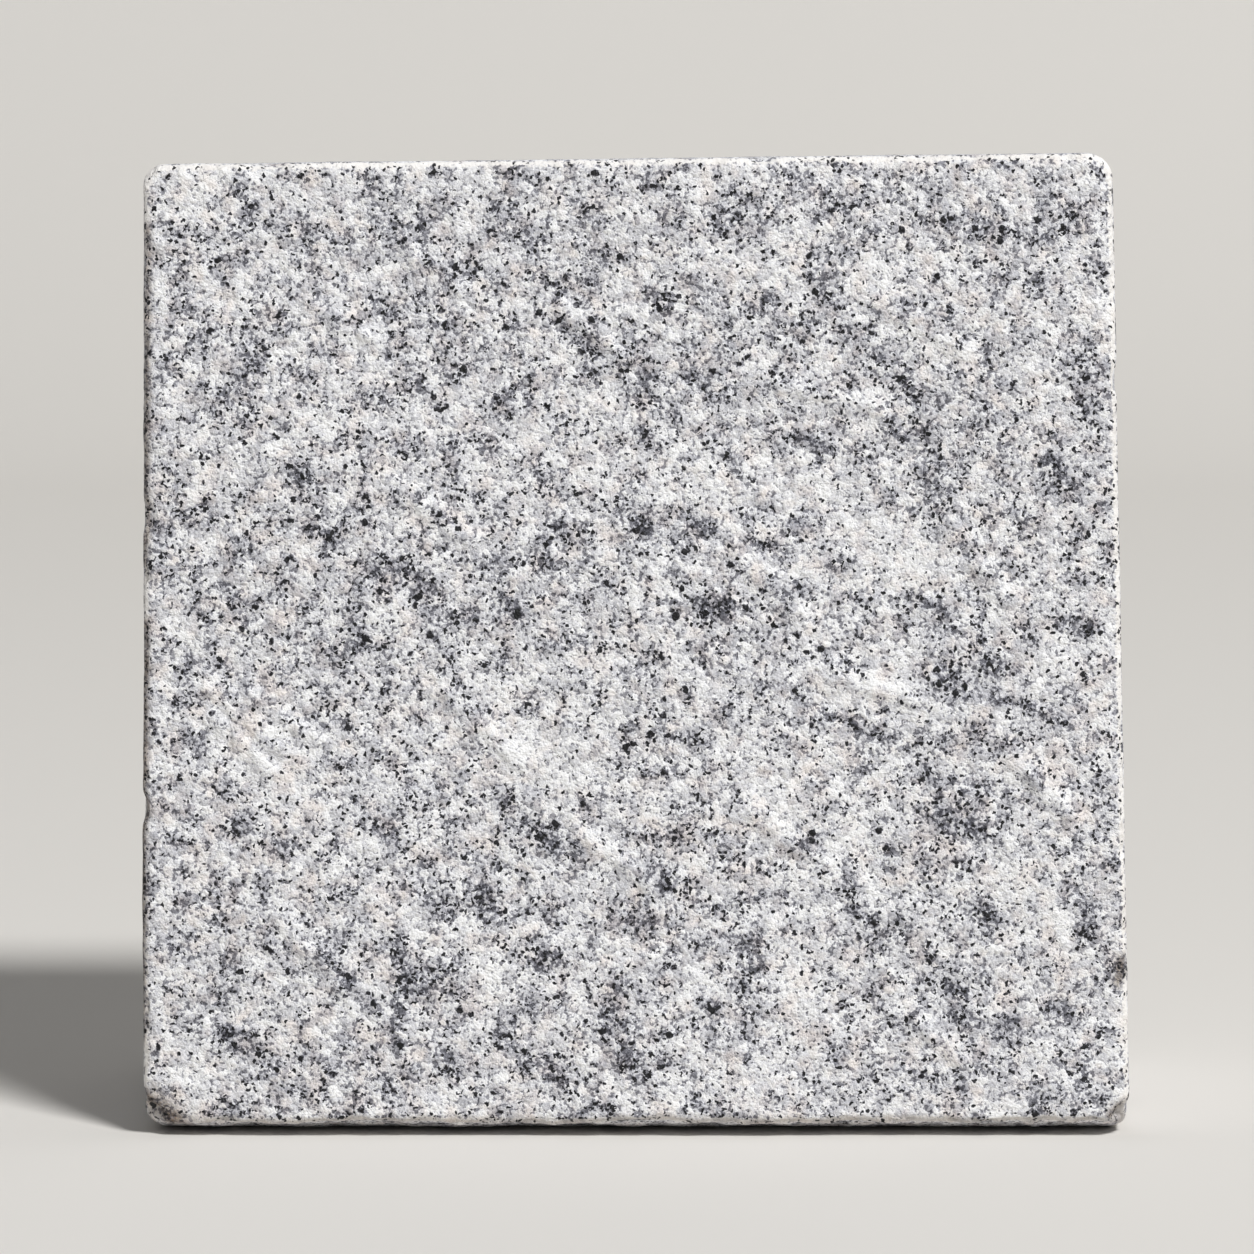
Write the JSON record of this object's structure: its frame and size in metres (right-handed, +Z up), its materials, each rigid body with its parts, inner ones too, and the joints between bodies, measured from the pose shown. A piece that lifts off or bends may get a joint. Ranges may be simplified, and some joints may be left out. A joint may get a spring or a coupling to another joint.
{
  "type": "cobblestone",
  "caption": "Small squared paving sett of light grey granite with a flamed head, sawn sides slightly out of square and rounded arrises, for paths and courtyards.",
  "frame": {"origin": "on the floor, under the middle of the stone's bounding box", "axes": "+X to the right along the head, +Y from the flamed head to the sawn tail, +Z up as it stands on one of its sides"},
  "size_m": [0.0998, 0.0502, 0.0993],
  "materials": {
    "granite": "flamed head, sawn sides and tail, tumbled arrises"
  },
  "bodies": {
    "root": {"granite_sett": "granite"}
  },
  "joints": []
}
